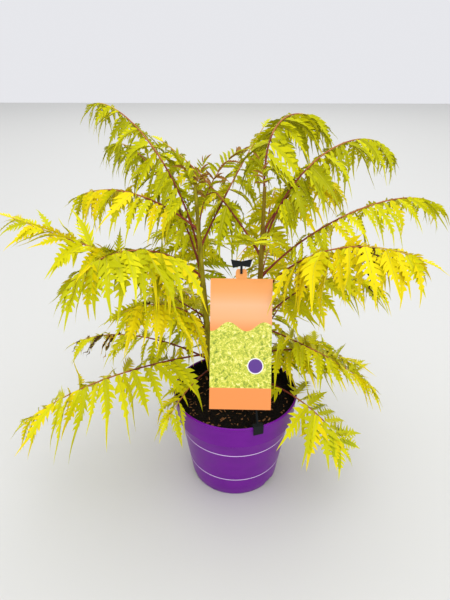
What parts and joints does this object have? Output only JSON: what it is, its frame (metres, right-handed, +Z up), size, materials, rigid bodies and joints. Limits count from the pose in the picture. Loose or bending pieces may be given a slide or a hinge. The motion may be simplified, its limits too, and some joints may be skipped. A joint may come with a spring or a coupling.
{
  "type": "potted staghorn sumac",
  "caption": "Golden cut-leaf staghorn sumac with arching pinnate fronds on upright stems, standing in a purple nursery pot with a plain picture card on a stake.",
  "frame": {"origin": "middle of the pot's flat underside", "axes": "+Z up along the pot's axis, +X to the right of someone facing the picture card, +Y away from them"},
  "size_m": [0.8212, 0.4953, 0.6782],
  "materials": {
    "pot_purple": "satin purple polypropylene",
    "mix_brown": "loose dark potting mix with bark chips",
    "stem_olive": "young olive bark",
    "leaf_gold": "golden to lime cut leaves with red midribs",
    "card_orange": "printed plastic card",
    "holder_black": "moulded dark plastic"
  },
  "bodies": {
    "root": {"card_holder": "holder_black", "frond_left_01": "leaf_gold", "frond_left_02": "leaf_gold", "frond_left_03": "leaf_gold", "frond_left_04": "leaf_gold", "frond_left_05": "leaf_gold", "frond_left_06": "leaf_gold", "frond_left_07": "leaf_gold", "frond_left_08": "leaf_gold", "frond_left_09": "leaf_gold", "frond_left_10": "leaf_gold", "frond_left_11": "leaf_gold", "frond_left_12": "leaf_gold", "frond_left_13": "leaf_gold", "frond_left_14": "leaf_gold", "frond_left_15": "leaf_gold", "frond_left_16": "leaf_gold", "frond_left_17": "leaf_gold", "frond_left_18": "leaf_gold", "frond_right_01": "leaf_gold", "frond_right_02": "leaf_gold", "frond_right_03": "leaf_gold", "frond_right_04": "leaf_gold", "frond_right_05": "leaf_gold", "frond_right_06": "leaf_gold", "frond_right_07": "leaf_gold", "frond_right_08": "leaf_gold", "frond_right_09": "leaf_gold", "frond_right_10": "leaf_gold", "frond_right_11": "leaf_gold", "frond_right_12": "leaf_gold", "frond_right_13": "leaf_gold", "frond_right_14": "leaf_gold", "frond_right_15": "leaf_gold", "frond_right_16": "leaf_gold", "picture_card": "card_orange", "pot": "pot_purple", "potting_mix": "mix_brown", "stem_left": "stem_olive", "stem_right": "stem_olive"}
  },
  "joints": []
}
